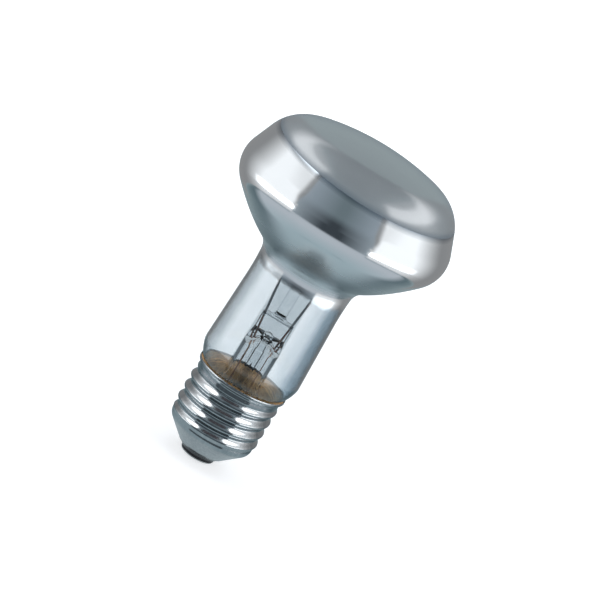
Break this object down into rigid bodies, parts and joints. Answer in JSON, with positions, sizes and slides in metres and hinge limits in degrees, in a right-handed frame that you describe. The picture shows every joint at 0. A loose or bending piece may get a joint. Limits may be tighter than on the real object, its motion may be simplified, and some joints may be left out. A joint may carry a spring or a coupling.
{
  "type": "reflector bulb",
  "caption": "Reflector filament bulb with a silvered bowl, a frosted face and a clear neck on a screw cap.",
  "frame": {"origin": "centre of the small flat on the contact solder, at the very tip of the cap", "axes": "+Z along the bulb's axis, from the contact tip to the frosted face; -Y is the side the picture shows; the side solder is at +Y"},
  "size_m": [0.0634, 0.0634, 0.102],
  "materials": {
    "clear_glass": "clear blown glass, frosted on the face",
    "mirror_film": "evaporated aluminium, polished",
    "stem_glass": "clear lead glass",
    "tungsten": "dull drawn tungsten",
    "support_wire": "drawn molybdenum",
    "lead_wire": "drawn nickel-plated wire",
    "copper_clad_wire": "borated copper-clad wire, dull red",
    "copper_lead": "drawn copper",
    "cement": "baked brown cement, matt and rippled",
    "cap_metal": "bright nickel-plated sheet",
    "black_glass": "opaque black glass, glossy",
    "contact_metal": "nickel-plated sheet, dull",
    "solder": "soft solder, satin"
  },
  "bodies": {
    "root": {"glass_envelope": "clear_glass", "mirror_coating": "mirror_film", "stem_glass": "stem_glass", "exhaust_tube": "stem_glass", "arbor_rod": "stem_glass", "filament": "tungsten", "support_wire_1": "support_wire", "support_wire_2": "support_wire", "support_wire_3": "support_wire", "inner_lead_left": "lead_wire", "inner_lead_right": "lead_wire", "seal_wire_left": "copper_clad_wire", "seal_wire_right": "copper_clad_wire", "centre_lead": "copper_lead", "side_lead": "copper_lead", "basing_cement": "cement", "cap_shell": "cap_metal", "insulator": "black_glass", "centre_contact": "contact_metal", "contact_solder": "solder", "side_solder": "solder"}
  },
  "joints": []
}
